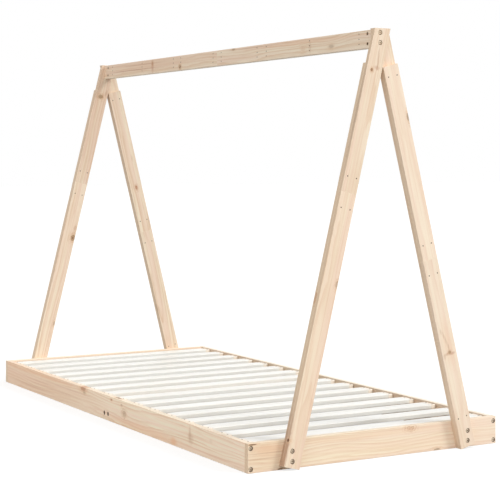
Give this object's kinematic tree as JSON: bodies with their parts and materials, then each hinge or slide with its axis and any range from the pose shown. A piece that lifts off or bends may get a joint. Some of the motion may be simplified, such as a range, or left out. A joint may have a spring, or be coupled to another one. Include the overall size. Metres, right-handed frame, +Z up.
{
  "type": "low floor bed with A-frames and ridge beam",
  "caption": "Low floor bed for a child: slatted board frame between two timber A-frames joined by a ridge beam for a canopy.",
  "frame": {"origin": "middle of the bed's footprint on the floor", "axes": "+Z up, +Y along the bed from the near A-frame to the far one, +X across the bed to the right seen from the near end"},
  "size_m": [0.95, 2.106, 1.355],
  "materials": {
    "rail_pine": "planed pine, unfinished, grain along the rail",
    "end_board_pine": "planed pine, unfinished, grain along the board",
    "ledge_pine": "planed pine, unfinished",
    "cross_bar_pine": "planed pine, unfinished",
    "left_leg_pine": "planed pine, unfinished, grain along the leg",
    "right_leg_pine": "planed pine, unfinished, grain along the leg",
    "beam_pine": "planed pine, unfinished, grain along the beam",
    "slat_lacquer": "satin off-white lacquer over wood",
    "bolt_steel": "bright zinc plate",
    "nut_steel": "zinc plate",
    "screw_steel": "zinc plate",
    "pin_steel": "plain steel pin heads"
  },
  "bodies": {
    "root": {"side_rail_left": "rail_pine", "side_rail_right": "rail_pine", "end_board_near": "end_board_pine", "end_board_far": "end_board_pine", "slat_ledge_left": "ledge_pine", "slat_ledge_right": "ledge_pine", "cross_bar": "cross_bar_pine", "slat_01": "slat_lacquer", "slat_02": "slat_lacquer", "slat_03": "slat_lacquer", "slat_04": "slat_lacquer", "slat_05": "slat_lacquer", "slat_06": "slat_lacquer", "slat_07": "slat_lacquer", "slat_08": "slat_lacquer", "slat_09": "slat_lacquer", "slat_10": "slat_lacquer", "slat_11": "slat_lacquer", "slat_12": "slat_lacquer", "slat_13": "slat_lacquer", "slat_14": "slat_lacquer", "slat_15": "slat_lacquer", "slat_16": "slat_lacquer", "leg_near_left_front_lower": "left_leg_pine", "leg_near_left_front_upper": "left_leg_pine", "leg_near_left_back_lower": "left_leg_pine", "leg_near_left_back_upper": "left_leg_pine", "leg_near_right_front_lower": "right_leg_pine", "leg_near_right_front_upper": "right_leg_pine", "leg_near_right_back_lower": "right_leg_pine", "leg_near_right_back_upper": "right_leg_pine", "leg_far_left_front_lower": "left_leg_pine", "leg_far_left_front_upper": "left_leg_pine", "leg_far_left_back_lower": "left_leg_pine", "leg_far_left_back_upper": "left_leg_pine", "leg_far_right_front_lower": "right_leg_pine", "leg_far_right_front_upper": "right_leg_pine", "leg_far_right_back_lower": "right_leg_pine", "leg_far_right_back_upper": "right_leg_pine", "beam_left_near": "beam_pine", "beam_left_far": "beam_pine", "beam_right_near": "beam_pine", "beam_right_middle": "beam_pine", "beam_right_far": "beam_pine", "corner_bolts": "bolt_steel", "foot_bolts": "bolt_steel", "apex_bolts": "bolt_steel", "cross_bar_bolts": "bolt_steel", "corner_barrel_nuts": "nut_steel", "apex_barrel_nuts": "nut_steel", "cross_bar_barrel_nuts": "nut_steel", "foot_sleeve_nuts": "nut_steel", "slat_screws": "screw_steel", "ledge_screws": "screw_steel", "leg_pins": "pin_steel", "beam_pins": "pin_steel"}
  },
  "joints": []
}
